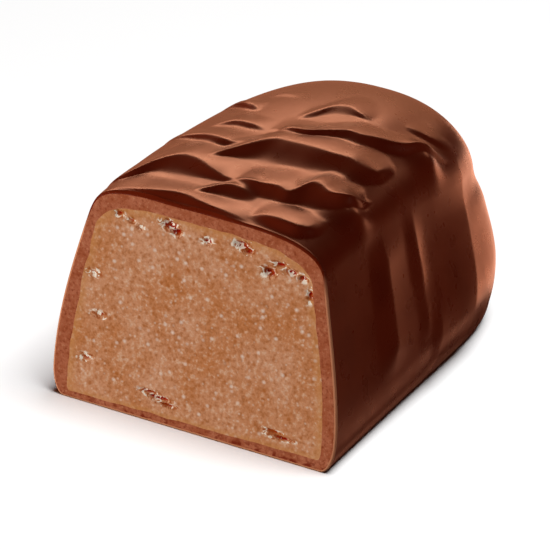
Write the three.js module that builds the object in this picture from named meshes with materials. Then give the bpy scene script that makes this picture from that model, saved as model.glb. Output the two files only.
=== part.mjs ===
// Half of a glazed milk candy, cut straight across and standing on its flat base: a loaf of soft
// milk filling inside a shell of poured milk chocolate, which ripples across the top.
// Millimetres, +Z up. The cut faces -Y, the rounded end faces +Y, and the origin is the middle of
// the base.
import * as THREE from "three";

const { clamp, lerp, smoothstep } = THREE.MathUtils;

// ---- the whole piece ----
const LENGTH = 29; // from the cut to the tip of the rounded end
const TIP_Z = 6; // height of that tip above the base
const END_GLAZE = 1.3; // thickness of the glaze over the rounded end
const FIT_GAP = 0.12; // air between the glaze and the filling

// ---- section at the cut, one half for each side of the middle ----
// top and middle: heights over the centre line. flat: where the shoulder starts. wallTop: where the
// shoulder meets the wall, which leans out there by lean for each millimetre down. widest: the foot
// of the wall. base: the edge of the underside. Each reach holds a stretch's two curve handles.
const GLAZE_RIGHT = {
  top: 15.5,
  flat: 2,
  shoulderReach: [3.75, 1.76],
  wallTop: [8.34, 13.19],
  lean: 0.17,
  wallReach: [3.48, 3.28],
  widest: [10.04, 2.06],
  footReach: [0.79, 0.68],
  base: [9.13, 0],
  middle: 0,
};
const GLAZE_LEFT = {
  ...GLAZE_RIGHT,
  flat: 3,
  shoulderReach: [4.26, 1.97],
  wallTop: [8.23, 13.15],
  lean: 0.26,
  wallReach: [3.86, 3.67],
};
const FILLING_RIGHT = {
  top: 14.55,
  flat: 2,
  shoulderReach: [3.6, 1.1],
  wallTop: [7.5, 12.6],
  lean: 0.17,
  wallReach: [3.5, 3.3],
  widest: [9.12, 1.7],
  footReach: [0.6, 0.15],
  base: [8.85, 0.8],
  middle: 0.65,
};
const FILLING_LEFT = {
  ...FILLING_RIGHT,
  flat: 3,
  shoulderReach: [3.3, 1.2],
  wallTop: [7.65, 12.5],
  widest: [8.95, 1.5],
  base: [8.7, 0.5],
};

// ---- how the loaf changes from the cut to the rounded end ----
const DOME = { drop: 2.3, at: 8, power: 2.2 }; // the shoulders sink, by drop at this distance out
const CROWN = 0.8; // the middle of the top rises by this much half way along
// The walls swell outwards, most at height z, and ever less over these distances below and above.
const BELLY = { swell: 1.25, z: 4, below: 3, above: 4.8 };
const SWELL_END = 0.9; // share of the length over which dome and belly grow
// The rounded end closes as (1 - a^bend)^(1/square), a running from 0 at start to 1 at the tip.
const CLOSE_SIDE = { start: 0, bend: 4.35, square: 8.64 };
const CLOSE_TOP = { start: 0.57, bend: 1.86, square: 9 };
const CLOSE_BASE = { start: 0.7, bend: 3, square: 6.5 };
const TOP_HEIGHTS = [8.5, 14.2]; // between these heights the side's closing turns into the top's
const BASE_HEIGHT = 4; // and from this height down into the base's

// ---- relief of the poured glaze ----
// A ripple is a row of turning points [x, y of the crest from the cut, how high the crest stands over
// the smooth top, how far it runs down before it, how far behind it].
const WAVES = [
  [
    [-8, 0.4, 0, 0.5, 2.5],
    [-5.2, 0.35, 0.2, 0.5, 2.5],
    [-4, 0.45, 0.35, 0.6, 2.6],
    [-2, 0.8, 0.42, 0.9, 2.4],
    [-0.7, 0.55, 0.35, 0.7, 2.2],
    [1, 0.4, 0.22, 0.5, 2.2],
    [2.6, 0.4, 0, 0.5, 2],
  ],
  [
    [2.4, 1.2, 0, 0.6, 2.6],
    [3.2, 1.25, 0.25, 0.9, 2.8],
    [4.1, 1.15, 0.4, 0.9, 3],
    [5, 1.15, 0.42, 0.9, 3],
    [5.9, 1.4, 0.4, 0.9, 2.6],
    [6.3, 1.75, 0.34, 0.8, 2.2],
    [6.8, 2.3, 0, 0.6, 2],
  ],
  [
    [-8.2, 1.5, 0, 0.5, 3.5],
    [-6.6, 2.6, 0.3, 0.6, 3.8],
    [-5.6, 4.3, 0.45, 1.3, 4],
    [-4.4, 5.35, 0.55, 2.1, 3.8],
    [-3.4, 5.3, 0.5, 1.8, 3.6],
    [-2.1, 4.75, 0.35, 0.9, 3.6],
    [-1.2, 4.5, 0.2, 0.5, 3.4],
    [0.2, 4.45, 0.2, 0.5, 3],
    [1.4, 4.4, 0, 0.5, 3],
  ],
  [
    [-1.9, 2, 0, 0.5, 1],
    [-1.1, 2.7, 0.3, 0.7, 1.2],
    [-0.2, 3.35, 0.42, 1.2, 1.3],
    [0.7, 3.4, 0.35, 1.1, 1.5],
    [1.8, 3.4, 0, 0.8, 1.5],
  ],
  [
    [-0.2, 4.5, 0, 0.6, 3],
    [1.2, 4.4, 0.42, 1, 3.6],
    [2.6, 4.6, 0.5, 1.2, 3.8],
    [3.6, 4.6, 0.52, 1.2, 3.8],
    [4.2, 6.1, 0.65, 2.4, 3.4],
    [4.8, 6.3, 0.65, 2.4, 3.4],
    [5.6, 5.9, 0.6, 1.4, 3.8],
    [6.5, 6.25, 0.6, 1, 3.4],
    [6.95, 6.7, 0.55, 0.9, 2.2],
    [7.35, 7.2, 0, 0.8, 2],
  ],
  [
    [-8, 9.2, 0, 0.4, 2],
    [-6.2, 9.3, 0.2, 0.5, 2],
    [-4.4, 9.3, 0.32, 0.8, 2.2],
    [-2.8, 9, 0.25, 0.6, 2.4],
    [-1.6, 9.4, 0, 0.5, 2.4],
  ],
  [
    [-3.1, 6.6, 0, 0.6, 2.5],
    [-2.3, 7.6, 0.36, 0.7, 3],
    [-1.3, 8.9, 0.56, 1.7, 3.2],
    [-0.4, 10.1, 0.58, 2.5, 3.6],
    [0.8, 10.4, 0.56, 2.8, 4],
    [2.3, 10.6, 0.53, 2.7, 4.3],
    [3.6, 10.8, 0.5, 2.1, 4.3],
    [4.6, 11.1, 0.53, 2.2, 4.3],
    [5.4, 11.1, 0.52, 2.2, 4],
    [6, 11.2, 0.5, 1.8, 3.6],
    [6.4, 11.5, 0.45, 1.5, 3],
    [6.8, 12, 0, 1, 2],
  ],
  [
    [-5.6, 11.6, 0, 0.4, 2],
    [-4.2, 12.4, 0.22, 0.7, 2],
    [-3, 12.3, 0.2, 0.6, 2],
    [-1.8, 12.1, 0, 0.4, 2],
  ],
  [
    [-6.8, 15.8, 0, 0.5, 2],
    [-5.6, 16.1, 0.34, 1.1, 2.2],
    [-4.6, 15.6, 0.32, 0.9, 2.2],
    [-3.8, 15.2, 0, 0.4, 2],
  ],
  [
    [-1.6, 12.5, 0, 0.5, 2.5],
    [-0.3, 12.4, 0.25, 0.4, 2.8],
    [0.9, 12.5, 0.3, 0.45, 3],
    [1.9, 13.5, 0.36, 0.7, 3],
    [2.9, 14.5, 0.44, 1.1, 3],
    [3.9, 14.8, 0.46, 1.3, 3],
    [4.8, 15.5, 0.45, 1.1, 3],
    [5.5, 16.1, 0.45, 1, 3],
    [6.1, 16.9, 0.45, 0.9, 2.6],
    [6.8, 18.8, 0.38, 1, 2],
    [7.2, 19.8, 0.22, 1, 1.6],
    [7.5, 20.6, 0, 0.8, 1.4],
  ],
  [
    [-1, 15, 0, 0.6, 2.5],
    [-0.2, 16.4, 0.2, 1.1, 2.5],
    [0.4, 17.9, 0.24, 1.8, 3.4],
    [1.2, 18.5, 0.25, 1.6, 3.4],
    [2.2, 18.1, 0.15, 0.4, 3],
    [3, 18, 0, 0.4, 2],
  ],
  [
    [-4.8, 18.2, 0, 0.5, 2],
    [-3.7, 18.9, 0.22, 1, 2],
    [-2.4, 18.6, 0, 0.4, 2],
  ],
  [
    [4.6, 20, 0, 0.6, 2.4],
    [5.8, 20.6, 0.2, 0.8, 2.4],
    [6.6, 21.8, 0.14, 1, 2],
    [7.1, 22.8, 0, 1, 2],
  ],
];
const WAVE_HEIGHTS = [12.2, 14.6]; // the ripples fade down the shoulder between these heights
const SLUMP = { least: 0.3, front: 0.75, back: 1.6 }; // shortest run, and how its two sides bend
// A round dimple and soft beads among the ripples: [x, y, z, how far it stands out, its spread].
const BUMPS = [
  [4.4, 4.5, 15.6, -0.17, 0.9],
  [7.1, 5.8, 15, 0.5, 1.35],
  [7.1, 18, 14.4, 0.46, 1.4],
];
// Upright folds in the walls: side, y of the crease from the cut at mid-height, how far it leans back
// on its way up, how far the fold swells before it and drops behind it, how long both are, how
// strongly the drop eases off, and the heights between which it is full and outside which it is gone.
const FOLDS = [
  [1, 8.4, 0, 0.34, 0.34, 2.4, 4.8, 1.3, [3.5, 6, 11, 13.3]],
  [1, 13.2, 0, 0.11, 0.11, 2, 3.2, 2, [7, 9, 11, 14]],
  [1, 13.2, 0, 0.09, 0.09, 1.6, 1.8, 2, [4, 5.5, 11, 14]],
  [1, 15, 0, 0.1, 0.1, 1.6, 3.2, 2, [1, 2.5, 4.5, 6.5]],
  [1, 21, 0.2, 0.04, 0.22, 5, 4.2, 2, [0.3, 1.6, 13, 15.5]],
  [-1, 6.5, 0, 0.12, 0.12, 1.8, 3, 2, [2, 5, 10, 13]],
  [-1, 14, 0, 0.15, 0.15, 2, 3.4, 2, [2, 5, 10, 13]],
];

// ---- how finely the surfaces are divided ----
const SECTION_STEPS = { flat: 4, shoulder: 15, wall: 7, foot: 3, base: 4 };
const SURFACE_STEPS = { body: 54, tip: 9 };
const HIDDEN_STEPS = { body: 5, tip: 6 };
const TIP_FROM = 0.84; // share of the length where the closer rows of the tip start
const TIP_EASE = 2.5;

// Points of half a section, from the middle of the top down to the middle of the base.
function halfSection(half) {
  const at = (x, z) => new THREE.Vector2(x, z);
  const down = at(half.lean, -1).normalize();
  const shoulder = at(half.flat, half.top);
  const wallTop = at(...half.wallTop);
  const widest = at(...half.widest);
  const base = at(...half.base);
  const [flatReach, upReach] = half.shoulderReach;
  const [downReach, riseReach] = half.wallReach;
  const [footReach, baseReach] = half.footReach;
  const stretches = [
    [new THREE.LineCurve(at(0, half.top), shoulder), SECTION_STEPS.flat],
    [
      new THREE.CubicBezierCurve(
        shoulder,
        at(half.flat + flatReach, half.top),
        wallTop.clone().addScaledVector(down, -upReach),
        wallTop,
      ),
      SECTION_STEPS.shoulder,
    ],
    [
      new THREE.CubicBezierCurve(
        wallTop,
        wallTop.clone().addScaledVector(down, downReach),
        at(widest.x, widest.y + riseReach),
        widest,
      ),
      SECTION_STEPS.wall,
    ],
    [
      new THREE.CubicBezierCurve(
        widest,
        at(widest.x, widest.y - footReach),
        at(base.x + baseReach, base.y),
        base,
      ),
      SECTION_STEPS.foot,
    ],
    [new THREE.LineCurve(base, at(0, half.middle)), SECTION_STEPS.base],
  ];
  const points = stretches.flatMap(([curve, steps]) => curve.getSpacedPoints(steps).slice(1));
  return [at(0, half.top), ...points];
}

// A closed section, clockwise as seen on the cut, starting at the middle of the top.
function section(right, left) {
  const leftPoints = halfSection(left).map((p) => new THREE.Vector2(-p.x, p.y));
  return [...halfSection(right), ...leftPoints.slice(1, -1).reverse()];
}

// The same half section, smaller all round by a gap.
function tightened(half, gap) {
  return {
    ...half,
    top: half.top - gap,
    wallTop: [half.wallTop[0] - gap, half.wallTop[1]],
    widest: [half.widest[0] - gap, half.widest[1]],
    base: [half.base[0] - gap, half.base[1] + gap],
    middle: half.middle + gap,
  };
}

// Slope of value k at turning point i, a mean of the slopes on its two sides that favours the
// nearer neighbour, or the one slope there is at either end.
function slopeAt(points, i, k) {
  const slope = (from, to) => (to[k] - from[k]) / (to[0] - from[0]);
  const [before, here, after] = [points[i - 1], points[i], points[i + 1]];
  if (!before) return slope(here, after);
  if (!after) return slope(before, here);
  const nearness = (after[0] - here[0]) / (after[0] - before[0]);
  return lerp(slope(here, after), slope(before, here), nearness);
}

// Value k of a row of turning points at x, in smooth curves from each point to the next.
function along(points, x, k) {
  const passed = points.filter((point) => point[0] <= x).length;
  const next = clamp(passed, 1, points.length - 1);
  const [from, to] = [points[next - 1], points[next]];
  const width = to[0] - from[0];
  const s = clamp((x - from[0]) / width, 0, 1);
  const lead = (s - 2 * s ** 2 + s ** 3) * width * slopeAt(points, next - 1, k);
  const trail = (s ** 3 - s ** 2) * width * slopeAt(points, next, k);
  return lerp(from[k], to[k], smoothstep(s, 0, 1)) + lead + trail;
}

// 1 at a crest, falling steeply and then levelling out before it, and gently behind it.
function slumped(y, at, before, behind) {
  if (y < at) {
    const ahead = clamp((at - y) / Math.max(before, SLUMP.least), 0, 1);
    return 1 - smoothstep(ahead ** SLUMP.front, 0, 1);
  }
  const beyond = clamp((y - at) / Math.max(behind, SLUMP.least), 0, 1);
  return (1 - beyond ** SLUMP.back) ** SLUMP.back;
}

// A fold that swells gently up to its crease and drops at once behind it.
function creased(y, at, rise, drop, before, behind, easing) {
  if (y < at) return rise * (1 - smoothstep((at - y) / before, 0, 1));
  const beyond = clamp((y - at) / behind, 0, 1);
  return rise - drop * (1 - (1 - beyond) ** easing);
}

// Height of the ripples at a place on the top.
function waveHeight(x, y) {
  let height = 0;
  for (const crest of WAVES) {
    if (x <= crest[0][0] || x >= crest.at(-1)[0]) continue;
    const [at, rise, before, behind] = [1, 2, 3, 4].map((k) => along(crest, x, k));
    height += Math.max(rise, 0) * slumped(y, at, before, behind);
  }
  return height;
}

// A place on the skin, pushed out from the middle of the loaf by the dimple and the beads.
function bumped(spot) {
  const out = new THREE.Vector3(spot.x, 0, spot.z - TIP_Z).normalize();
  for (const [x, y, z, height, spread] of BUMPS) {
    const away = spot.distanceTo(new THREE.Vector3(x, y, z)) / spread;
    spot.addScaledVector(out, height * Math.exp(-(away ** 2)));
  }
  return spot;
}

// How far the folds stand out of the wall on one side, at a distance from the cut and a height.
function foldDepth(side, y, up) {
  let depth = 0;
  for (const [foldSide, at, lean, ...shape] of FOLDS) {
    if (foldSide !== side) continue;
    const [goneLow, fullLow, fullHigh, goneHigh] = shape.at(-1);
    const fade = smoothstep(up, goneLow, fullLow) * (1 - smoothstep(up, fullHigh, goneHigh));
    depth += fade * creased(y, at + lean * (up - TIP_Z), ...shape.slice(0, -1));
  }
  return depth;
}

// Share of its size that a section keeps at t, the share of the way to the tip.
function closing({ start, bend, square }, t) {
  const a = clamp((t - start) / (1 - start), 0, 1);
  return (1 - a ** bend) ** (1 / square);
}

// Where a point of the section lies at t on a loaf of the given length.
function placed(point, t, length, relief) {
  const [out, up] = [point.x, point.y];
  const side = Math.sign(out);
  const topness = smoothstep(up, ...TOP_HEIGHTS);
  const baseness = 1 - smoothstep(up, 0, BASE_HEIGHT);
  const grown = smoothstep(t, 0, SWELL_END);
  const spread = up < BELLY.z ? BELLY.below : BELLY.above;
  const swell = BELLY.swell * Math.exp(-(((up - BELLY.z) / spread) ** 2)) * grown;
  const sink = DOME.drop * (Math.abs(out) / DOME.at) ** DOME.power * grown;
  const x = out + side * swell;
  const z = up + (CROWN * Math.sin(Math.PI * t) - sink) * topness;
  const upper = lerp(closing(CLOSE_SIDE, t), closing(CLOSE_TOP, t), topness);
  const share = lerp(upper, closing(CLOSE_BASE, t), baseness);
  const spot = new THREE.Vector3(x * share, t * length, TIP_Z + (z - TIP_Z) * share);
  if (relief) {
    bumped(spot);
    spot.z += waveHeight(spot.x, spot.y) * smoothstep(up, ...WAVE_HEIGHTS);
    spot.x += side * foldDepth(side, spot.y, up);
  }
  return spot;
}

// Rows of one skin of the loaf, from the cut to the tip. The tip's row is a single point.
function skin(ring, length, steps, relief) {
  const rows = [];
  for (let i = 0; i < steps.body; i += 1) rows.push((TIP_FROM * i) / steps.body);
  for (let i = 0; i < steps.tip; i += 1) {
    rows.push(1 - (1 - TIP_FROM) * (1 - i / steps.tip) ** TIP_EASE);
  }
  const spots = rows.map((t) => ring.map((point) => placed(point, t, length, relief)));
  return [...spots, ring.map(() => new THREE.Vector3(0, length, TIP_Z))];
}

// A closed body turned on a lathe with one profile point for each row, every row then pressed out
// of round into its section. Rows run with the surface on their left as the lathe needs it.
function pressed(rows) {
  const round = rows[0].length;
  const profile = rows.map((row, j) => new THREE.Vector2(row[0].equals(row[1]) ? 0 : 1, j));
  const body = new THREE.LatheGeometry(profile, round);
  const position = body.getAttribute("position");
  for (let i = 0; i <= round; i += 1) {
    rows.forEach((row, j) => position.setXYZ(i * rows.length + j, ...row[i % round]));
  }
  body.translate(0, -LENGTH / 2, 0);
  body.computeVertexNormals();
  return body;
}

// ---- milk chocolate glaze: a shell, open at the cut ----
const glazeRing = section(GLAZE_RIGHT, GLAZE_LEFT);
const fillingRing = section(FILLING_RIGHT, FILLING_LEFT);
const outside = skin(glazeRing, LENGTH, SURFACE_STEPS, true);
const inside = skin(fillingRing, LENGTH - END_GLAZE, HIDDEN_STEPS, false);
const glaze = new THREE.Mesh(
  pressed([...inside.toReversed(), ...outside]),
  new THREE.MeshStandardMaterial({ color: "#7a3a22", roughness: 0.3, metalness: 0 }),
);
glaze.name = "glaze";

// ---- milk filling: a solid loaf with its face on the cut ----
const looseRing = section(
  tightened(FILLING_RIGHT, FIT_GAP),
  tightened(FILLING_LEFT, FIT_GAP),
);
const loaf = skin(looseRing, LENGTH - END_GLAZE - FIT_GAP, HIDDEN_STEPS, false);
const faceMiddle = looseRing.map(() => new THREE.Vector3(0, 0, TIP_Z));
const filling = new THREE.Mesh(
  pressed([faceMiddle, ...loaf]),
  new THREE.MeshStandardMaterial({ color: "#c89169", roughness: 0.85, metalness: 0 }),
);
filling.name = "filling";

const candy = new THREE.Group();
candy.add(glaze, filling);

export default candy;
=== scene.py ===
# Half of a glazed milk candy, cut straight across and standing on its base: the finished look of
# its two pieces, the poured glaze and the milk filling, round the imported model. Sizes are in
# millimetres as named, and turned to metres where a mesh, light or camera is placed.
import math

import bmesh
import bpy
import numpy as np
from mathutils import Matrix, Vector, noise
from mathutils.geometry import interpolate_bezier


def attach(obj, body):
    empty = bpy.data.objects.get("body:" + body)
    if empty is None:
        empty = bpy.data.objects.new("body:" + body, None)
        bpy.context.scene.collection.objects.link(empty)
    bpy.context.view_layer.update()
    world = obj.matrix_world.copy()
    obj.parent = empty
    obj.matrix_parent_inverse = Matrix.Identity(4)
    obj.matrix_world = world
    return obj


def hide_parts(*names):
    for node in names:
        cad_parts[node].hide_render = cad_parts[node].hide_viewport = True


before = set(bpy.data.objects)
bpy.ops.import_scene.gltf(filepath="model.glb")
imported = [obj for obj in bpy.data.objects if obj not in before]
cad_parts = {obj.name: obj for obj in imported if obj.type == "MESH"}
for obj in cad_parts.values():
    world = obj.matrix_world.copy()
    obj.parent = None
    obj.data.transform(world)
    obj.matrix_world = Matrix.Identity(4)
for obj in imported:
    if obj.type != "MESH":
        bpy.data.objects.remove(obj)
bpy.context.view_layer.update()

# ---- camera ----
# A long lens in front of the cut, to the right of it and above, leaning over a little, so that the
# cut face, the right wall and the rippled top all show.
MM = 0.001
VIEW_AZIMUTH = math.radians(23.4)
VIEW_ELEVATION = math.radians(25.94)
VIEW_LEAN = math.radians(4.98)
VIEW_DISTANCE = 252.6
VIEW_AIM = Vector((0.61, -4.5, 7.34))
SENSOR = 36.0
LENS = 255.0  # a frame about 36 mm wide at the candy
CLIP_START = 10.0

turned = Matrix.Rotation(VIEW_AZIMUTH, 4, "Z") @ Matrix.Rotation(math.pi / 2 - VIEW_ELEVATION, 4, "X")
leaning = turned @ Matrix.Rotation(VIEW_LEAN, 4, "Z")
seen_from = VIEW_AIM + turned.to_3x3() @ Vector((0, 0, VIEW_DISTANCE))
camera_data = bpy.data.cameras.new("camera")
camera_data.sensor_width = SENSOR
camera_data.lens = LENS
camera_data.clip_start = CLIP_START * MM
camera = bpy.data.objects.new("camera", camera_data)
camera.matrix_world = Matrix.Translation(seen_from * MM) @ leaning
bpy.context.scene.collection.objects.link(camera)
bpy.context.scene.camera = camera


# ---- floor and studio light ----
# A sheet of plain matt white board, kept out of the gloss and lit from high on the right, so that
# its shadow is soft and on the left. The candy's own lights leave the board alone: some only shade
# the candy, and those behind it and low down only gleam on its ripples, folds and edges.
def linear(code):
    """A colour written as sRGB hex, as linear red, green, blue and alpha."""
    shares = [int(code[i : i + 2], 16) / 255 for i in (1, 3, 5)]
    return (*(c / 12.92 if c <= 0.04045 else ((c + 0.055) / 1.055) ** 2.4 for c in shares), 1.0)


def new_material(name):
    """An empty material, its node tree and its output node."""
    material = bpy.data.materials.new(name)
    material.use_nodes = True
    tree = material.node_tree
    tree.nodes.clear()
    return material, tree, tree.nodes.new("ShaderNodeOutputMaterial")


def add_node(tree, kind, settings=None, **inputs):
    """One node with its settings, each input given as a value or as the socket that feeds it."""
    node = tree.nodes.new("ShaderNode" + kind)
    for name, value in (settings or {}).items():
        setattr(node, name, value)
    for name, value in inputs.items():
        key = int(name[1:]) if name[1:].isdigit() else name.replace("_", " ")
        if isinstance(value, bpy.types.NodeSocket):
            tree.links.new(value, node.inputs[key])
        else:
            node.inputs[key].default_value = value
    return node


# Matt board: an even white without any gloss.
BOARD_SIZE = 3000.0
BOARD_WHITE = "#f7f7f7"
board_material, tree, output = new_material("matt_white_board")
board_shader = add_node(tree, "BsdfDiffuse", Color=linear(BOARD_WHITE))
tree.links.new(board_shader.outputs[0], output.inputs["Surface"])
bm = bmesh.new()
bmesh.ops.create_grid(bm, x_segments=1, y_segments=1, size=BOARD_SIZE / 2 * MM)
board_mesh = bpy.data.meshes.new("board")
bm.to_mesh(board_mesh)
bm.free()
board_mesh.materials.append(board_material)
board = bpy.data.objects.new("board", board_mesh)
board.visible_glossy = False
board.visible_diffuse = False
bpy.context.scene.collection.objects.link(board)

LIGHT_AIM = Vector((0, 0, 7.0))
SHADE_DISTANCE = 420.0
GLEAM_DISTANCE = 400.0
# Each light: azimuth and elevation in degrees, width and height, watts, and tone.
BOARD_LIGHT = (80, 78, (220, 220), 2.3, "#ffffff")
SHADE_LIGHTS = {
    "overhead": (10, 75, (300, 300), 0.07, "#ffffff"),
    "front_left": (-35, 2, (180, 180), 1.53, "#fff4e6"),
    "right_side": (100, 20, (200, 200), 0.42, "#fff0e6"),
}
# The first four gleam on the top, from the crests of the ripples down to their steepest faces, and
# the others on the right ends of the ripples, the rounded far corner, the folds of the right wall,
# its foot from the far end to the cut, and the edge of the cut.
GLEAM_LIGHTS = {
    "back_high": (-149, 32, (310, 108), 0.86, "#ffad85"),
    "back_middle": (-154, 19.5, (380, 70), 0.16, "#ffa074"),
    "back_under": (-154, 8.5, (380, 86), 0.095, "#ffa070"),
    "back_low": (-147, -8, (420, 142), 0.13, "#ff9e72"),
    "ridge_ends": (174, 15, (80, 50), 0.045, "#ffa47a"),
    "back_floor": (-178, -17.5, (120, 124), 0.132, "#ffae8c"),
    "fold_light": (166.3, -15, (74, 130), 0.072, "#ff9a70"),
    "right_floor": (157, -29, (90, 40), 0.011, "#ffa27c"),
    "foot_light": (152, -48, (240, 150), 0.09, "#ffa27c"),
    "edge_glint": (60, -14, (140, 200), 0.2, "#ffb08a"),
}


def soft_box(name, distance, azimuth, elevation, size, watts, tone):
    """A rectangular light, aimed at the candy from an azimuth right of -Y and an elevation."""
    light = bpy.data.lights.new(name, "AREA")
    light.shape = "RECTANGLE"
    light.size, light.size_y = (side * MM for side in size)
    light.energy = watts
    light.color = linear(tone)[:3]
    box = bpy.data.objects.new(name, light)
    turn = Matrix.Rotation(math.radians(azimuth), 4, "Z")
    turn = turn @ Matrix.Rotation(math.pi / 2 - math.radians(elevation), 4, "X")
    stands_at = LIGHT_AIM + turn.to_3x3() @ Vector((0, 0, distance))
    box.matrix_world = Matrix.Translation(stands_at * MM) @ turn
    box.visible_camera = False
    bpy.context.scene.collection.objects.link(box)
    return box


board_only = bpy.data.collections.new("board_only")
board_only.objects.link(board)
all_but_board = bpy.data.collections.new("all_but_board")
all_but_board.objects.link(board)
all_but_board.collection_objects[0].light_linking.link_state = "EXCLUDE"

board_box = soft_box("board_light", SHADE_DISTANCE, *BOARD_LIGHT)
board_box.visible_glossy = False
board_box.light_linking.receiver_collection = board_only
for name, light in SHADE_LIGHTS.items():
    box = soft_box(name, SHADE_DISTANCE, *light)
    box.visible_glossy = False
    box.light_linking.receiver_collection = all_but_board
    box.light_linking.blocker_collection = all_but_board
for name, light in GLEAM_LIGHTS.items():
    box = soft_box(name, GLEAM_DISTANCE, *light)
    box.visible_diffuse = False
    box.light_linking.receiver_collection = all_but_board
    box.light_linking.blocker_collection = all_but_board

# The room is pale where the camera sees it past the board, and dim and brown to the candy.
PALE_ROOM = "#fafafa"
DIM_ROOM = "#3a2a24"
DIM_STRENGTH = 0.3
world = bpy.data.worlds.new("studio")
world.use_nodes = True
world.node_tree.nodes.clear()
seen_directly = add_node(world.node_tree, "LightPath")
pale = add_node(world.node_tree, "Background", Color=linear(PALE_ROOM), Strength=1.0)
dim = add_node(world.node_tree, "Background", Color=linear(DIM_ROOM), Strength=DIM_STRENGTH)
chosen = add_node(
    world.node_tree,
    "MixShader",
    i0=seen_directly.outputs["Is Camera Ray"],
    i1=dim.outputs[0],
    i2=pale.outputs[0],
)
surroundings = world.node_tree.nodes.new("ShaderNodeOutputWorld")
world.node_tree.links.new(chosen.outputs[0], surroundings.inputs["Surface"])
bpy.context.scene.world = world
bpy.context.scene.view_settings.view_transform = "Standard"

# ---- filling ----
# Condensed milk boiled with sugar and fat and beaten to a soft, dense paste, shaped into a loaf:
# matt and pale caramel, grained with milk crystals, torn in small pits where the knife went
# through. Its loaf form, section by section, is also the form that the glaze takes over it.
LENGTH = 29.0
END_GLAZE = 1.3
FILLED_LENGTH = LENGTH - END_GLAZE
TIP_Z = 6.0
# Half a section, in x and z: the heights of its middle, half the width of its flat top, the corners
# of its wall, how far each curve reaches from its ends, and how far the wall leans out for each mm.
FILLING_RIGHT = {
    "top": 14.55,
    "flat": 2.0,
    "shoulder_reach": (3.6, 1.1),
    "wall_top": (7.5, 12.6),
    "lean": 0.17,
    "wall_reach": (3.5, 3.3),
    "widest": (9.12, 1.7),
    "foot_reach": (0.6, 0.15),
    "base": (8.85, 0.8),
    "middle": 0.65,
}
FILLING_LEFT = FILLING_RIGHT | {
    "flat": 3.0,
    "shoulder_reach": (3.3, 1.2),
    "wall_top": (7.65, 12.5),
    "widest": (8.95, 1.5),
    "base": (8.7, 0.5),
}
SECTION_STEPS = {"flat": 18, "shoulder": 64, "wall": 44, "foot": 12, "base": 22}

# Away from the cut the shoulders sink by the drop at that distance out, the middle of the top
# rises, and the walls swell at that height and so far below and above it. Dome and belly are full
# at that share of the length.
DOME = {"drop": 2.3, "at": 8.0, "power": 2.2}
CROWN = 0.8
BELLY = {"swell": 1.25, "z": 4.0, "below": 3.0, "above": 4.8}
SWELL_END = 0.9
# Walls, top and base close in towards the tip, each from its own share of the length and by its
# own curve. Between the two heights the wall's closing turns into the top's, and below the last
# one it turns into the base's.
CLOSE_SIDE = {"start": 0.0, "bend": 4.35, "square": 8.64}
CLOSE_TOP = {"start": 0.57, "bend": 1.86, "square": 9.0}
CLOSE_BASE = {"start": 0.7, "bend": 3.0, "square": 6.5}
TOP_HEIGHTS = (8.5, 14.2)
BASE_HEIGHT = 4.0


def ease(value, low, high):
    """0 below low, 1 above high, and smooth between them."""
    share = np.clip((value - low) / (high - low), 0, 1)
    return share * share * (3 - 2 * share)


def mix(a, b, share):
    """The value at a share of the way from a to b."""
    return a + (b - a) * share


def straight(start, end):
    """A straight stretch, as the four points of a curve."""
    return start, mix(start, end, 1 / 3), mix(start, end, 2 / 3), end


def half_section(half):
    """Half a section from the middle of the top round to the middle of the base."""
    down = Vector((half["lean"], -1)).normalized()
    top_middle = Vector((0, half["top"]))
    shoulder = Vector((half["flat"], half["top"]))
    wall_top = Vector(half["wall_top"])
    widest = Vector(half["widest"])
    base = Vector(half["base"])
    middle = Vector((0, half["middle"]))
    over, up = half["shoulder_reach"]
    fall, rise = half["wall_reach"]
    drop, outward = half["foot_reach"]
    stretches = {
        "flat": straight(top_middle, shoulder),
        "shoulder": (shoulder, shoulder + Vector((over, 0)), wall_top - down * up, wall_top),
        "wall": (wall_top, wall_top + down * fall, widest + Vector((0, rise)), widest),
        "foot": (widest, widest - Vector((0, drop)), base + Vector((outward, 0)), base),
        "base": straight(base, middle),
    }
    points = [top_middle]
    for name, curve in stretches.items():
        points += interpolate_bezier(*curve, SECTION_STEPS[name] + 1)[1:]
    return np.array([point[:2] for point in points])


def section(right, left):
    """A whole section, clockwise as seen on the cut, starting at the middle of the top."""
    left_side = half_section(left) * (-1, 1)
    return np.vstack((half_section(right), left_side[-2:0:-1]))


def closing(close, t):
    """Share of its size that the section keeps at t, the share of the way to the tip."""
    a = np.clip((t - close["start"]) / (1 - close["start"]), 0, 1)
    return (1 - a ** close["bend"]) ** (1 / close["square"])


def placed(ring, t, length):
    """The section's points at t on a loaf of that length, y measured from the cut."""
    out, up = ring[:, 0], ring[:, 1]
    topness = ease(up, *TOP_HEIGHTS)
    baseness = 1 - ease(up, 0, BASE_HEIGHT)
    grown = ease(t, 0, SWELL_END)
    spread = np.where(up < BELLY["z"], BELLY["below"], BELLY["above"])
    swell = BELLY["swell"] * np.exp(-(((up - BELLY["z"]) / spread) ** 2)) * grown
    sink = DOME["drop"] * (abs(out) / DOME["at"]) ** DOME["power"] * grown
    x = out + np.sign(out) * swell
    z = up + (CROWN * math.sin(math.pi * t) - sink) * topness
    share = mix(closing(CLOSE_SIDE, t), closing(CLOSE_TOP, t), topness)
    share = mix(share, closing(CLOSE_BASE, t), baseness)
    return np.column_stack((x * share, np.full(len(x), t * length), TIP_Z + (z - TIP_Z) * share))


def row_shares(body, tip, tip_from=0.84, tip_ease=2.5):
    """Shares of the way to the tip at which a skin has a row, closer together near the tip."""
    even = np.arange(body) * tip_from / body
    closer = 1 - (1 - tip_from) * (1 - np.arange(tip) / tip) ** tip_ease
    return [*even, *closer]


MERGE_WITHIN = 0.001  # of the distance between two rows
SHARP_ANGLE = 50.0


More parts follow.
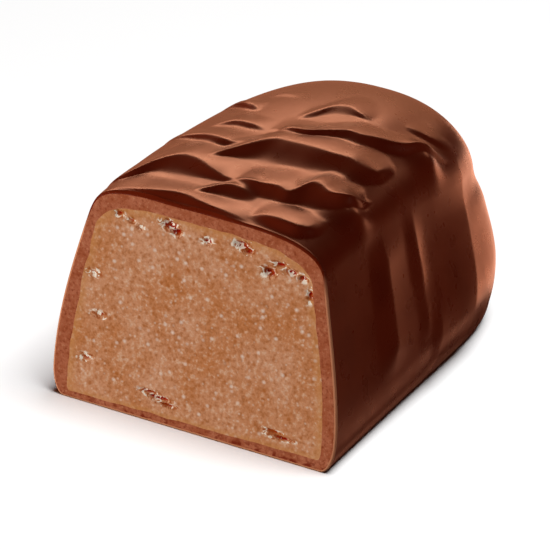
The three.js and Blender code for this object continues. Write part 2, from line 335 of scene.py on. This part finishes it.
def pressed(name, rows):
    """A closed body spun round the candy's length with one ring for each row, and every ring then
    pressed into its own section. The first and the last row are points. Each place keeps the number
    of its row."""
    count = len(rows[1])
    bm = bmesh.new()
    profile = [bm.verts.new((0, j, 0 if j in (0, len(rows) - 1) else 1)) for j in range(len(rows))]
    for start, end in zip(profile, profile[1:]):
        bm.edges.new((start, end))
    bmesh.ops.spin(
        bm,
        geom=bm.verts[:] + bm.edges[:],
        cent=(0, 0, 0),
        axis=(0, 1, 0),
        angle=2 * math.pi,
        steps=count,
        use_merge=True,
    )
    bmesh.ops.remove_doubles(bm, verts=bm.verts[:], dist=MERGE_WITHIN)
    row_number = bm.verts.layers.float.new("row")
    for vert in bm.verts:
        vert[row_number] = round(vert.co.y)
        row = rows[round(vert.co.y)]
        around = round(math.atan2(vert.co.x, vert.co.z) / (2 * math.pi) * count) % count
        vert.co = Vector(row[around if len(row) > 1 else 0]) * MM
    bmesh.ops.translate(bm, verts=bm.verts[:], vec=(0, -LENGTH / 2 * MM, 0))
    bmesh.ops.recalc_face_normals(bm, faces=bm.faces[:])
    mesh = bpy.data.meshes.new(name)
    bm.to_mesh(mesh)
    bm.free()
    mesh.shade_smooth()
    mesh.set_sharp_from_angle(angle=math.radians(SHARP_ANGLE))
    piece = bpy.data.objects.new(name, mesh)
    bpy.context.scene.collection.objects.link(piece)
    return piece


# Rows from the middle of the cut face to the seam, and along the walls inside the glaze.
FACE_ROWS = 90
HIDDEN_ROWS = {"body": 6, "tip": 7}
# The seam wanders by that much at most. Its waves, and the ragged edges of the pits, are slices of
# a noise: so many waves to the mm, and where the slice is taken.
SEAM_WANDER = 0.1
SEAM_WAVES = 0.9
SEAM_SLICE = 3.0
RAGGED_WAVES = 3.5
RAGGED_SLICE = 7.0
RAGGED_SHARE = 0.8
# Pits torn in the cut face: x and z of each, half its width and height, and its depth.
PITS = (
    (-6.0, 13.85, 0.22, 0.14, 0.22),
    (-5.1, 13.6, 0.16, 0.1, 0.16),
    (-4.5, 13.3, 0.16, 0.12, 0.14),
    (-2.5, 14.0, 0.34, 0.22, 0.45),
    (-2.0, 13.65, 0.26, 0.18, 0.4),
    (0.2, 13.6, 0.24, 0.16, 0.25),
    (2.5, 14.0, 0.34, 0.2, 0.45),
    (3.0, 13.7, 0.24, 0.16, 0.3),
    (4.5, 12.7, 0.3, 0.22, 0.45),
    (5.2, 13.4, 0.34, 0.12, 0.25),
    (6.0, 13.1, 0.34, 0.12, 0.25),
    (6.8, 12.9, 0.24, 0.16, 0.25),
    (7.4, 11.9, 0.14, 0.3, 0.25),
    (-3.1, 2.1, 0.42, 0.09, 0.3),
    (-2.4, 1.85, 0.5, 0.1, 0.4),
    (-1.8, 1.5, 0.4, 0.09, 0.3),
    (5.6, 1.85, 0.42, 0.09, 0.25),
    (6.3, 1.55, 0.5, 0.1, 0.3),
    (-7.5, 9.3, 0.3, 0.14, 0.16),
    (-6.9, 6.5, 0.35, 0.14, 0.16),
    (-7.7, 3.2, 0.3, 0.16, 0.16),
)
# Round each pit the paste is torn a little, as far as the root of the spread times the pit's size.
TORN_DEPTH = 0.035
TORN_SPREAD = 5.0


def wandering(row):
    """The seam between paste and chocolate, a little uneven where it is cut."""
    waves = [noise.noise(Vector((x * SEAM_WAVES, SEAM_SLICE, z * SEAM_WAVES))) for x, _, z in row]
    shift = [wave * SEAM_WANDER for wave in waves]
    out = row - (0, 0, TIP_Z)
    return row + out / np.linalg.norm(out, axis=1)[:, None] * np.array(shift)[:, None]


def pitted(row):
    """A row of the cut face with its pits pushed in."""
    depth = np.zeros(len(row))
    waves = [noise.noise(Vector((x * RAGGED_WAVES, RAGGED_SLICE, z * RAGGED_WAVES))) for x, _, z in row]
    ragged = 1 - RAGGED_SHARE * np.array(waves)
    for x, z, wide, high, deep in PITS:
        away = ((row[:, 0] - x) / wide) ** 2 + ((row[:, 2] - z) / high) ** 2
        torn = TORN_DEPTH * np.exp(-away / TORN_SPREAD)
        depth = np.maximum(depth, deep * np.exp(-away * ragged) + torn)
    return row + np.column_stack((0 * depth, depth, 0 * depth))


face_centre = np.array([(0, 0, TIP_Z)])
filling_ring = section(FILLING_RIGHT, FILLING_LEFT)
face_edge = wandering(placed(filling_ring, 0, FILLED_LENGTH))
face = [pitted(mix(face_centre, face_edge, j / FACE_ROWS)) for j in range(1, FACE_ROWS)]
loaf = [placed(filling_ring, t, FILLED_LENGTH) for t in row_shares(**HIDDEN_ROWS)]
loaf[0] = face_edge
filled_tip = np.array([(0, FILLED_LENGTH, TIP_Z)])
filling = pressed("milk_filling", [face_centre, *face, *loaf, filled_tip])


def each_mm(size):
    """Scale of a pattern whose grains or waves are that many millimetres apart."""
    return 1 / (size * MM)


def where(tree, cover, *steps):
    """That cover where each pattern is past the last of its two values, none where a pattern is
    short of the first, and fading between."""
    for pattern, start, full in steps:
        step = add_node(tree, "MapRange", Value=pattern, From_Min=start, From_Max=full)
        product = add_node(tree, "Math", {"operation": "MULTIPLY"}, i0=cover, i1=step.outputs[0])
        cover = product.outputs[0]
    return cover


def laid_over(tree, under, code, cover, *steps):
    """A colour with another laid over it, as where() says."""
    share = where(tree, cover, *steps)
    both = add_node(tree, "Mix", {"data_type": "RGBA"}, i0=share, i6=under, i7=linear(code))
    return both.outputs[2]


GRAIN_EDGE = 0.25  # share of a cell over which a grain fades out
KIND_EDGE = 0.1  # share of the cells whose grains are faint


def grains(tree, place, size, few, core):
    """Steps for separate grains a size apart, in the share few to 1 of the cells, each with a core."""
    cells = add_node(tree, "TexVoronoi", Vector=place, Scale=each_mm(size))
    kind = add_node(tree, "SeparateColor", Color=cells.outputs["Color"]).outputs["Red"]
    return (kind, few, few + KIND_EDGE), (cells.outputs["Distance"], core + GRAIN_EDGE, core)


# The paste is a warm caramel, paler in clouds, with orange-brown flecks of scorched milk and pale
# crystals, and is smeared smooth along the seam. Torn pits are smeared with chocolate, and round
# their edges glossy specks of fat are painted near white as glints.
KNIFE_BAND = (0.925, 0.985)  # shares of the way from the middle of the cut to the seam
PIT_DEPTHS = (0.08, 0.18)
TORN_DEPTHS = (0.008, 0.025)
paste, tree, output = new_material("milk_filling_paste")
place = add_node(tree, "TexCoord").outputs["Object"]
clouds = add_node(tree, "TexNoise", Vector=place, Scale=each_mm(3.5), Detail=3.0, Roughness=0.6)
clouds = clouds.outputs["Fac"]
speckle = add_node(tree, "TexNoise", Vector=place, Scale=each_mm(0.34), Detail=2.0, Roughness=0.7)
speckle = speckle.outputs["Fac"]
shards = add_node(tree, "TexNoise", Vector=place, Scale=each_mm(0.38), Detail=1.0, Distortion=1.0)
shards = shards.outputs["Fac"]
row = add_node(tree, "Attribute", {"attribute_name": "row"}).outputs["Fac"]
depth = add_node(tree, "SeparateXYZ", Vector=place).outputs["Y"]
cut_plane = -LENGTH / 2 * MM
by_seam = (row, *(FACE_ROWS * share for share in KNIFE_BAND))
in_pit = (depth, *(cut_plane + step * MM for step in PIT_DEPTHS))
torn = (depth, *(cut_plane + step * MM for step in TORN_DEPTHS))
colour = laid_over(tree, linear("#c98558"), "#d8a080", 1.0, (clouds, 0.35, 0.65))
colour = laid_over(tree, colour, "#a9652f", 0.65, (speckle, 0.5, 0.3))
colour = laid_over(tree, colour, "#ecccb4", 0.55, (speckle, 0.54, 0.7))
colour = laid_over(tree, colour, "#b0672f", 0.7, *grains(tree, place, 0.45, 0.7, 0.15))
colour = laid_over(tree, colour, "#f3e4dc", 0.75, *grains(tree, place, 0.55, 0.66, 0.08))
colour = laid_over(tree, colour, "#eed9cb", 0.55, *grains(tree, place, 0.33, 0.68, 0.1))
colour = laid_over(tree, colour, "#cf9259", 0.5, by_seam)
colour = laid_over(tree, colour, "#a01a0a", 1.0, in_pit)
colour = laid_over(tree, colour, "#a4521f", 0.8, torn, (shards, 0.46, 0.4))
# Painted glints: near-white specks round the pits, which the roughness below also makes glossy.
colour = laid_over(tree, colour, "#fff6ec", 1.0, torn, (shards, 0.55, 0.6))
glints = where(tree, 1.0, torn, (shards, 0.55, 0.6))
dull = add_node(tree, "MapRange", Value=glints, From_Min=1.0, From_Max=0.0, To_Max=0.7)
grain = add_node(tree, "TexNoise", Vector=place, Scale=each_mm(0.2), Detail=2.0)
relief = add_node(tree, "Bump", Strength=0.8, Distance=0.06 * MM, Height=grain.outputs["Fac"])
shader = add_node(
    tree,
    "BsdfPrincipled",
    Base_Color=colour,
    Roughness=dull.outputs[0],
    IOR=1.45,
    Normal=relief.outputs[0],
)
tree.links.new(shader.outputs[0], output.inputs["Surface"])
filling.data.materials.append(paste)
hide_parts("filling")
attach(filling, "root")

# ---- glaze ----
# Milk chocolate poured over the filling on a belt: a glossy shell that slumps into ripples across
# the top and a few soft folds down the walls, and breaks off satin where the knife went through.
GLAZE_RIGHT = {
    "top": 15.5,
    "flat": 2.0,
    "shoulder_reach": (3.75, 1.76),
    "wall_top": (8.34, 13.19),
    "lean": 0.17,
    "wall_reach": (3.48, 3.28),
    "widest": (10.04, 2.06),
    "foot_reach": (0.79, 0.68),
    "base": (9.13, 0.0),
    "middle": 0.0,
}
GLAZE_LEFT = GLAZE_RIGHT | {
    "flat": 3.0,
    "shoulder_reach": (4.26, 1.97),
    "wall_top": (8.23, 13.15),
    "lean": 0.26,
    "wall_reach": (3.86, 3.67),
}
# Each ripple is a row of turning points: x, y of the crest from the cut, how high the crest stands
# over the smooth top, and how far the ripple runs down before it and behind it.
WAVES = (
    (
        (-8.0, 0.4, 0, 0.5, 2.5),
        (-5.2, 0.35, 0.2, 0.5, 2.5),
        (-4.0, 0.45, 0.35, 0.6, 2.6),
        (-2.0, 0.8, 0.42, 0.9, 2.4),
        (-0.7, 0.55, 0.35, 0.7, 2.2),
        (1.0, 0.4, 0.22, 0.5, 2.2),
        (2.6, 0.4, 0, 0.5, 2),
    ),
    (
        (2.4, 1.2, 0, 0.6, 2.6),
        (3.2, 1.25, 0.25, 0.9, 2.8),
        (4.1, 1.15, 0.4, 0.9, 3),
        (5.0, 1.15, 0.42, 0.9, 3),
        (5.9, 1.4, 0.4, 0.9, 2.6),
        (6.3, 1.75, 0.34, 0.8, 2.2),
        (6.8, 2.3, 0, 0.6, 2),
    ),
    (
        (-8.2, 1.5, 0, 0.5, 3.5),
        (-6.6, 2.6, 0.3, 0.6, 3.8),
        (-5.6, 4.3, 0.45, 1.3, 4),
        (-4.4, 5.35, 0.55, 2.1, 3.8),
        (-3.4, 5.3, 0.5, 1.8, 3.6),
        (-2.1, 4.75, 0.35, 0.9, 3.6),
        (-1.2, 4.5, 0.2, 0.5, 3.4),
        (0.2, 4.45, 0.2, 0.5, 3),
        (1.4, 4.4, 0, 0.5, 3),
    ),
    (
        (-1.9, 2.0, 0, 0.5, 1),
        (-1.1, 2.7, 0.3, 0.7, 1.2),
        (-0.2, 3.35, 0.42, 1.2, 1.3),
        (0.7, 3.4, 0.35, 1.1, 1.5),
        (1.8, 3.4, 0, 0.8, 1.5),
    ),
    (
        (-0.2, 4.5, 0, 0.6, 3),
        (1.2, 4.4, 0.42, 1, 3.6),
        (2.6, 4.6, 0.5, 1.2, 3.8),
        (3.6, 4.6, 0.52, 1.2, 3.8),
        (4.2, 6.1, 0.65, 2.4, 3.4),
        (4.8, 6.3, 0.65, 2.4, 3.4),
        (5.6, 5.9, 0.6, 1.4, 3.8),
        (6.5, 6.25, 0.6, 1, 3.4),
        (6.95, 6.7, 0.55, 0.9, 2.2),
        (7.35, 7.2, 0, 0.8, 2),
    ),
    (
        (-8, 9.2, 0, 0.4, 2),
        (-6.2, 9.3, 0.2, 0.5, 2),
        (-4.4, 9.3, 0.32, 0.8, 2.2),
        (-2.8, 9.0, 0.25, 0.6, 2.4),
        (-1.6, 9.4, 0, 0.5, 2.4),
    ),
    (
        (-3.1, 6.6, 0, 0.6, 2.5),
        (-2.3, 7.6, 0.36, 0.7, 3),
        (-1.3, 8.9, 0.56, 1.7, 3.2),
        (-0.4, 10.1, 0.58, 2.5, 3.6),
        (0.8, 10.4, 0.56, 2.8, 4),
        (2.3, 10.6, 0.53, 2.7, 4.3),
        (3.6, 10.8, 0.5, 2.1, 4.3),
        (4.6, 11.1, 0.53, 2.2, 4.3),
        (5.4, 11.1, 0.52, 2.2, 4),
        (6.0, 11.2, 0.5, 1.8, 3.6),
        (6.4, 11.5, 0.45, 1.5, 3),
        (6.8, 12.0, 0, 1, 2),
    ),
    (
        (-5.6, 11.6, 0, 0.4, 2),
        (-4.2, 12.4, 0.22, 0.7, 2),
        (-3, 12.3, 0.2, 0.6, 2),
        (-1.8, 12.1, 0, 0.4, 2),
    ),
    (
        (-6.8, 15.8, 0, 0.5, 2),
        (-5.6, 16.1, 0.34, 0.8, 2.2),
        (-4.6, 15.6, 0.32, 0.7, 2.2),
        (-3.8, 15.2, 0, 0.4, 2),
    ),
    (
        (-1.6, 12.5, 0, 0.5, 2.5),
        (-0.3, 12.4, 0.25, 0.4, 2.8),
        (0.9, 12.5, 0.3, 0.45, 3),
        (1.9, 13.5, 0.36, 0.7, 3),
        (2.9, 14.5, 0.44, 1.1, 3),
        (3.9, 14.8, 0.46, 1.3, 3),
        (4.8, 15.5, 0.45, 1.1, 3),
        (5.5, 16.1, 0.45, 1, 3),
        (6.1, 16.9, 0.45, 0.9, 2.6),
        (6.8, 18.8, 0.38, 1, 2),
        (7.2, 19.8, 0.22, 1, 1.6),
        (7.5, 20.6, 0, 0.8, 1.4),
    ),
    (
        (-1, 15.0, 0, 0.6, 2.5),
        (-0.2, 16.4, 0.2, 1.1, 2.5),
        (0.4, 17.9, 0.24, 1.8, 3.4),
        (1.2, 18.5, 0.25, 1.6, 3.4),
        (2.2, 18.1, 0.15, 0.4, 3),
        (3, 18, 0, 0.4, 2),
    ),
    (
        (-4.8, 18.2, 0, 0.5, 2),
        (-3.7, 18.9, 0.1, 0.8, 2),
        (-2.4, 18.6, 0, 0.4, 2),
    ),
    (
        (4.6, 20.0, 0, 0.6, 2.4),
        (5.8, 20.6, 0.2, 0.8, 2.4),
        (6.6, 21.8, 0.14, 1, 2),
        (7.1, 22.8, 0, 1, 2),
    ),
)
# A round dimple and soft beads among the ripples: x, y, z, how far each stands out, and its spread.
BUMPS = (
    (4.4, 4.5, 15.6, -0.17, 0.9),
    (7.1, 5.8, 15.0, 0.5, 1.35),
    (7.1, 18.0, 14.4, 0.46, 1.4),
)
# The ripples fade down the shoulders between these heights. Each has a shortest run, and its two
# sides bend by these powers.
WAVE_HEIGHTS = (12.2, 14.6)
SLUMP = {"least": 0.3, "front": 0.75, "back": 1.6}
# Upright folds in the walls: side, y of the crease from the cut at mid-height, how far it leans
# back on its way up, how far the fold swells before it and drops behind it, how long both are, how
# strongly the drop eases off, and the heights between which the fold is full and outside which it
# is gone.
FOLDS = (
    (1, 8.4, 0.0, 0.34, 0.34, 2.4, 4.8, 1.3, (3.5, 6.0, 11.0, 13.3)),
    (1, 13.2, 0.0, 0.11, 0.11, 2.0, 3.2, 2.0, (7.0, 9.0, 11.0, 14.0)),
    (1, 13.2, 0.0, 0.09, 0.09, 1.6, 1.8, 2.0, (4.0, 5.5, 11.0, 14.0)),
    (1, 15.0, 0.0, 0.1, 0.1, 1.6, 3.2, 2.0, (1.0, 2.5, 4.5, 6.5)),
    (1, 21.0, 0.2, 0.04, 0.22, 5.0, 4.2, 2.0, (0.3, 1.6, 13.0, 15.5)),
    (-1, 6.5, 0.0, 0.12, 0.12, 1.8, 3.0, 2.0, (2.0, 5.0, 10.0, 13.0)),
    (-1, 14.0, 0.0, 0.15, 0.15, 2.0, 3.4, 2.0, (2.0, 5.0, 10.0, 13.0)),
)
GLAZE_ROWS = {"body": 165, "tip": 18}
RIM_ROWS = 6
EDGE_ROUND = 0.16
EDGE_TURNS = (0, 30, 60)
CUT_WITHIN = 0.001
SMALLEST_REACH = 0.001  # for the tip, which has no direction of its own


def along(points, x):
    """The row of turning points at x, in smooth curves from each point to the next."""
    stops = np.array(points, float)
    slopes = np.gradient(stops, stops[:, 0], axis=0)
    i = np.clip(np.searchsorted(stops[:, 0], x, side="right") - 1, 0, len(stops) - 2)
    width = (stops[i + 1, 0] - stops[i, 0])[:, None]
    s = np.clip((x[:, None] - stops[i, :1]) / width, 0, 1)
    turned_on = s * s * (3 - 2 * s)
    lead = (s - 2 * s**2 + s**3) * width * slopes[i]
    trail = (s**3 - s**2) * width * slopes[i + 1]
    return mix(stops[i], stops[i + 1], turned_on) + lead + trail


def slumped(y, at, before, behind):
    """1 at a crest, falling steeply and then levelling out before it, and gently behind it."""
    ahead = np.clip((at - y) / np.maximum(before, SLUMP["least"]), 0, 1)
    beyond = np.clip((y - at) / np.maximum(behind, SLUMP["least"]), 0, 1)
    front = 1 - ease(ahead ** SLUMP["front"], 0, 1)
    return np.where(y < at, front, (1 - beyond ** SLUMP["back"]) ** SLUMP["back"])


def creased(y, at, rise, drop, before, behind, easing):
    """A fold that swells gently up to its crease and drops at once behind it."""
    ahead = np.clip((at - y) / before, 0, 1)
    beyond = np.clip((y - at) / behind, 0, 1)
    swelling = rise * (1 - ease(ahead, 0, 1))
    return np.where(y < at, swelling, rise - drop * (1 - (1 - beyond) ** easing))


def wave_height(x, y):
    """Height of the ripples at places on the top."""
    height = np.zeros(len(x))
    for crest in WAVES:
        _, at, rise, before, behind = along(crest, x).T
        present = (x > crest[0][0]) & (x < crest[-1][0])
        height += present * np.maximum(rise, 0) * slumped(y, at, before, behind)
    return height


def bumped(row):
    """A row of the skin with its dimple and beads, pushed out from the middle of the loaf."""
    out = row - (0, row[0, 1], TIP_Z)
    out /= np.maximum(np.linalg.norm(out, axis=1), SMALLEST_REACH)[:, None]
    for *at, height, spread in BUMPS:
        away = np.linalg.norm(row - at, axis=1) / spread
        row = row + out * (height * np.exp(-(away**2)))[:, None]
    return row


def fold_depth(x, y, up):
    """How far the folds stand out of the walls."""
    depth = np.zeros(len(x))
    for side, at, lean, *fold, heights in FOLDS:
        gone_low, full_low, full_high, gone_high = heights
        fade = ease(up, gone_low, full_low) * (1 - ease(up, full_high, gone_high))
        crease = at + lean * (up - TIP_Z)
        depth += (np.sign(x) == side) * fade * creased(y, crease, *fold)
    return depth


def glazed(ring, t):
    """A row of the poured skin with its beads, ripples and folds."""
    row = bumped(placed(ring, t, LENGTH))
    row[:, 2] += wave_height(row[:, 0], row[:, 1]) * ease(ring[:, 1], *WAVE_HEIGHTS)
    row[:, 0] += np.sign(ring[:, 0]) * fold_depth(row[:, 0], row[:, 1], ring[:, 1])
    return row


def rounded_edge(outer, inward):
    """Rows round the outer edge of the cut, from the cut face to the wall."""
    rows = []
    for turn in np.radians(EDGE_TURNS):
        behind_cut = EDGE_ROUND * (1 - np.cos(turn))
        rows.append(outer + inward * EDGE_ROUND * (1 - np.sin(turn)) + (0, behind_cut, 0))
    return rows


glaze_ring = section(GLAZE_RIGHT, GLAZE_LEFT)
outside = [glazed(glaze_ring, max(t, EDGE_ROUND / LENGTH)) for t in row_shares(**GLAZE_ROWS)]
cut_outline = glazed(glaze_ring, 0)
inward = face_edge - cut_outline
inward /= np.linalg.norm(inward, axis=1)[:, None]
edge = rounded_edge(cut_outline, inward)
rim = [mix(face_edge, edge[0], j / RIM_ROWS) for j in range(1, RIM_ROWS)]
outer_tip = np.array([(0, LENGTH, TIP_Z)])
glaze = pressed("glaze_poured", [filled_tip, *loaf[::-1], *rim, *edge, *outside, outer_tip])

# Poured milk chocolate: dark red-brown under a soft gloss, a little uneven in tone and gloss where
# it flowed, with a painted highlight, a pale line, on the rounded outer edge of the cut down its sides.
# The painted highlight on the cut's rounded edge: the depths behind the cut and the heights over which
# it fades out.
EDGE_HIGHLIGHT_DEPTHS = (1.3 * EDGE_ROUND, EDGE_ROUND)
EDGE_HIGHLIGHT_HEIGHTS = (13.5, 12.0)
chocolate, tree, output = new_material("poured_milk_chocolate")
place = add_node(tree, "TexCoord").outputs["Object"]
flow = add_node(tree, "TexNoise", Vector=place, Scale=each_mm(2.6), Detail=1.0, Roughness=0.4)
flow = flow.outputs["Fac"]
bloom = add_node(tree, "TexNoise", Vector=place, Scale=each_mm(1.4), Detail=2.0, Roughness=0.5)
bloom = bloom.outputs["Fac"]
spot = add_node(tree, "SeparateXYZ", Vector=place)
highlight_by_cut = (spot.outputs["Y"], *(cut_plane + step * MM for step in EDGE_HIGHLIGHT_DEPTHS))
highlight_down_side = (spot.outputs["Z"], *(step * MM for step in EDGE_HIGHLIGHT_HEIGHTS))
colour = laid_over(tree, linear("#6b1f0b"), "#742510", 1.0, (flow, 0.35, 0.65))
# Painted highlight: the rounded edge of the cut is pale down its sides.
colour = laid_over(tree, colour, "#e09a76", 1.0, highlight_by_cut, highlight_down_side)
gloss = add_node(
    tree, "MapRange", Value=bloom, From_Min=0.3, From_Max=0.7, To_Min=0.26, To_Max=0.32
)
shader = add_node(tree, "BsdfPrincipled", Base_Color=colour, Roughness=gloss.outputs[0], IOR=1.47)
tree.links.new(shader.outputs[0], output.inputs["Surface"])

# Cut milk chocolate: the same chocolate where the knife broke it, paler, matt and grained, with
# crumbs and smears, and torn darker along the base.
BASE_TORN = (0.9, 0.3)
cut_chocolate, tree, output = new_material("cut_milk_chocolate")
place = add_node(tree, "TexCoord").outputs["Object"]
smear = add_node(tree, "TexNoise", Vector=place, Scale=each_mm(1.2), Detail=4.0, Roughness=0.65)
smear = smear.outputs["Fac"]
crumb = add_node(tree, "TexNoise", Vector=place, Scale=each_mm(0.25), Detail=2.0, Roughness=0.7)
crumb = crumb.outputs["Fac"]
shreds = add_node(tree, "TexNoise", Vector=place, Scale=each_mm(0.5), Detail=3.0, Distortion=0.6)
shreds = shreds.outputs["Fac"]
height = add_node(tree, "SeparateXYZ", Vector=place).outputs["Z"]
by_base = (height, *(step * MM for step in BASE_TORN))
colour = laid_over(tree, linear("#a95c3e"), "#bb7155", 1.0, (smear, 0.38, 0.62))
colour = laid_over(tree, colour, "#863a1f", 0.8, (crumb, 0.48, 0.3))
colour = laid_over(tree, colour, "#d69a7a", 0.6, (crumb, 0.56, 0.74))
colour = laid_over(tree, colour, "#7a2410", 0.9, (shreds, 0.5, 0.6), by_base)
relief = add_node(tree, "Bump", Strength=0.7, Distance=0.05 * MM, Height=crumb)
shader = add_node(
    tree, "BsdfPrincipled", Base_Color=colour, Roughness=0.55, IOR=1.47, Normal=relief.outputs[0]
)
tree.links.new(shader.outputs[0], output.inputs["Surface"])
glaze.data.materials.append(chocolate)
glaze.data.materials.append(cut_chocolate)
for facet in glaze.data.polygons:
    if facet.center.y < (-LENGTH / 2 + CUT_WITHIN) * MM:
        facet.material_index = 1
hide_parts("glaze")
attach(glaze, "root")
